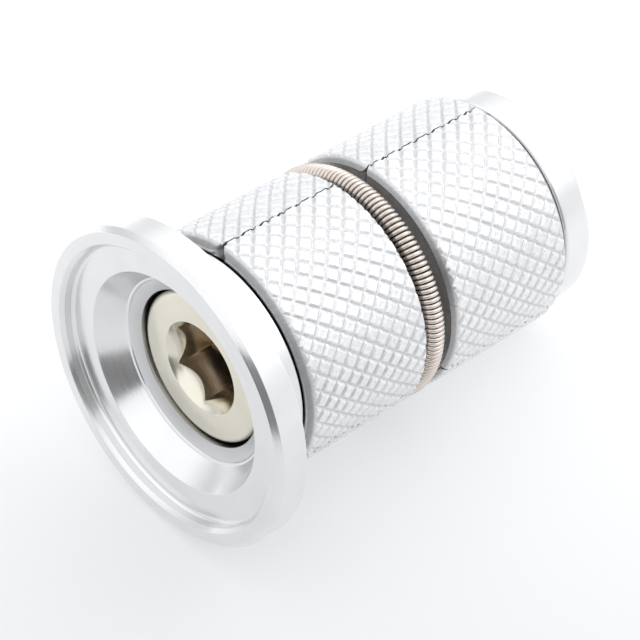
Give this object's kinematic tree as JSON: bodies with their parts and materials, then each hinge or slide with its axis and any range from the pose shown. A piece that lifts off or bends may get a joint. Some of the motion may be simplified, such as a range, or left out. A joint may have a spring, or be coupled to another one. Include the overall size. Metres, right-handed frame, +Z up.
{
  "type": "headset expander plug",
  "caption": "Flanged expander plug with knurled gripping segments on a garter spring, spread by cones when its hollow hex-socket bolt is turned.",
  "frame": {"origin": "on the ground under the middle of the plug's box, with the plug lying on its flange's rim and on the rear edge of its segments", "axes": "+Z up; the plug's own axis lies in the YZ plane, its flange faces -Y and is raised by 6.11 degrees; +X to the right of it"},
  "size_m": [0.03, 0.0442, 0.0301],
  "materials": {
    "aluminium": "turned and satin polished",
    "knurled_aluminium": "diamond knurled, bright",
    "nickel_plated_steel": "warm nickel plate, satin",
    "spring_steel": "bronze tinted spring wire"
  },
  "bodies": {
    "cup": {"flange_cup": "aluminium", "bolt_washer": "nickel_plated_steel", "garter_spring": "spring_steel"},
    "bolt": {"expander_bolt": "nickel_plated_steel"},
    "nut": {"cone_nut": "aluminium"},
    "segment_1": {"grip_segment_1": "knurled_aluminium"},
    "segment_2": {"grip_segment_2": "knurled_aluminium"},
    "segment_3": {"grip_segment_3": "knurled_aluminium"}
  },
  "joints": [
    {"name": "nut_pull", "type": "slide", "parent": "cup", "child": "nut", "axis": [0, -0.9943, 0.1064], "range_m": [0, 0.0007]},
    {"name": "bolt_turn", "type": "hinge", "parent": "cup", "child": "bolt", "pos_m": [0, -0.01023, 0.01414], "axis": [0, 0.9943, -0.1064], "range_deg": [0, 201.61]},
    {"name": "segment_1_spread", "type": "slide", "parent": "cup", "child": "segment_1", "axis": [0.5534, -0.6562, 0.5129], "range_m": [0, 0.00049498], "deforming": ["garter_spring"]},
    {"name": "segment_2_spread", "type": "slide", "parent": "cup", "child": "segment_2", "axis": [0.1045, -0.7775, -0.6201], "range_m": [0, 0.00049498]},
    {"name": "segment_3_spread", "type": "slide", "parent": "cup", "child": "segment_3", "axis": [-0.6579, -0.6755, 0.3329], "range_m": [0, 0.00049498]}
  ],
  "couplings": [
    {"joint": "bolt_turn", "follows": "nut_pull", "rad_per_m": 5026.5},
    {"joint": "segment_1_spread", "follows": "nut_pull", "ratio": 0.70711},
    {"joint": "segment_2_spread", "follows": "nut_pull", "ratio": 0.70711},
    {"joint": "segment_3_spread", "follows": "nut_pull", "ratio": 0.70711}
  ]
}
